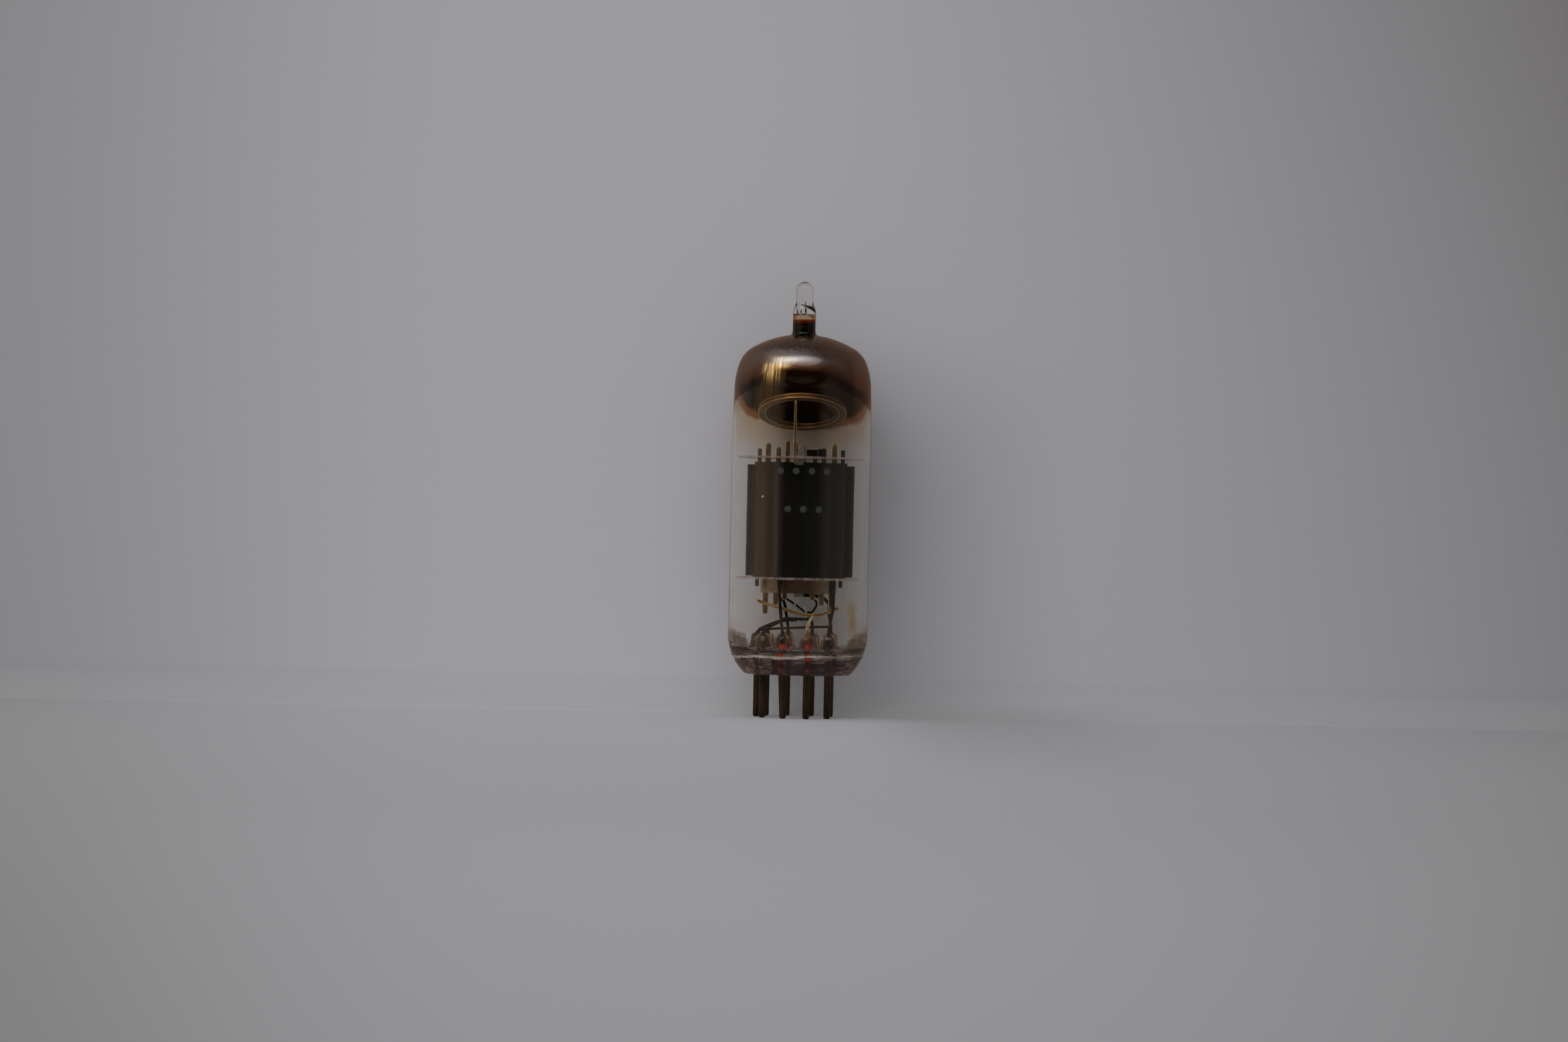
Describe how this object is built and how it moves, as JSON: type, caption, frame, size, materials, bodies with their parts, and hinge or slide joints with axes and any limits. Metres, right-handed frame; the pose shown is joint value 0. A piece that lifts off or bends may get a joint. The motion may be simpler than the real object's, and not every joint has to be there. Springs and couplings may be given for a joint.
{
  "type": "pentode tube",
  "caption": "Glass miniature pentode tube with a dark mirror film under its crown, a getter ring, a black anode and a ring of base pins.",
  "frame": {"origin": "on the surface that the pin ends stand on, on the axis of the bulb", "axes": "+Z from the pins to the exhaust tip; the viewer of the picture looks along +Y; +X to the right"},
  "size_m": [0.0208, 0.0208, 0.0649],
  "materials": {
    "bulb_glass": "clear blown glass",
    "stem_glass": "pressed glass",
    "pin_metal": "oxidised, streaked",
    "seal_copper": "copper-clad, red oxide",
    "lead_nickel": "darkened wire",
    "gold_nickel": "straw-tinted wire",
    "rod_nickel": "satin wire",
    "tray_nickel": "satin sheet",
    "sleeve_nickel": "satin sleeve, white coating",
    "heater_white": "white coating",
    "anode_carbon": "matt black carbonised sheet",
    "mica": "translucent split sheet",
    "ring_nickel": "straw-tinted sheet",
    "getter_metal": "dark porous filling",
    "getter_film": "dark mirror film with a brown edge"
  },
  "bodies": {
    "root": {"glass_bulb": "bulb_glass", "button_stem": "stem_glass", "pin_1": "pin_metal", "pin_2": "pin_metal", "pin_3": "pin_metal", "pin_4": "pin_metal", "pin_5": "pin_metal", "pin_6": "pin_metal", "pin_7": "pin_metal", "pin_8": "pin_metal", "pin_9": "pin_metal", "seal_wire_1": "seal_copper", "seal_wire_2": "seal_copper", "seal_wire_3": "seal_copper", "seal_wire_4": "seal_copper", "seal_wire_5": "seal_copper", "seal_wire_6": "seal_copper", "seal_wire_7": "seal_copper", "seal_wire_8": "seal_copper", "seal_wire_9": "seal_copper", "cathode_lead": "lead_nickel", "control_grid_lead": "lead_nickel", "screen_lead": "lead_nickel", "heater_lead_a": "lead_nickel", "heater_lead_b": "lead_nickel", "shield_stub": "lead_nickel", "anode_lead": "lead_nickel", "shield_lead": "lead_nickel", "control_grid_link": "lead_nickel", "shield_link": "lead_nickel", "cathode_ribbon": "lead_nickel", "shield_strap": "lead_nickel", "control_grid_clip": "lead_nickel", "screen_clip": "lead_nickel", "suppressor_lead": "gold_nickel", "suppressor_link": "gold_nickel", "lower_mica": "mica", "upper_mica": "mica", "front_anode": "anode_carbon", "rear_anode": "anode_carbon", "cathode_sleeve": "sleeve_nickel", "heater": "heater_white", "control_grid_left_rod": "rod_nickel", "control_grid_right_rod": "rod_nickel", "control_grid_winding": "rod_nickel", "screen_left_rod": "rod_nickel", "screen_right_rod": "rod_nickel", "screen_winding": "rod_nickel", "suppressor_left_rod": "rod_nickel", "suppressor_right_rod": "rod_nickel", "suppressor_winding": "rod_nickel", "shield_tray": "tray_nickel", "getter_ring": "ring_nickel", "getter_fill": "getter_metal", "getter_support": "rod_nickel", "getter_film": "getter_film"}
  },
  "joints": []
}
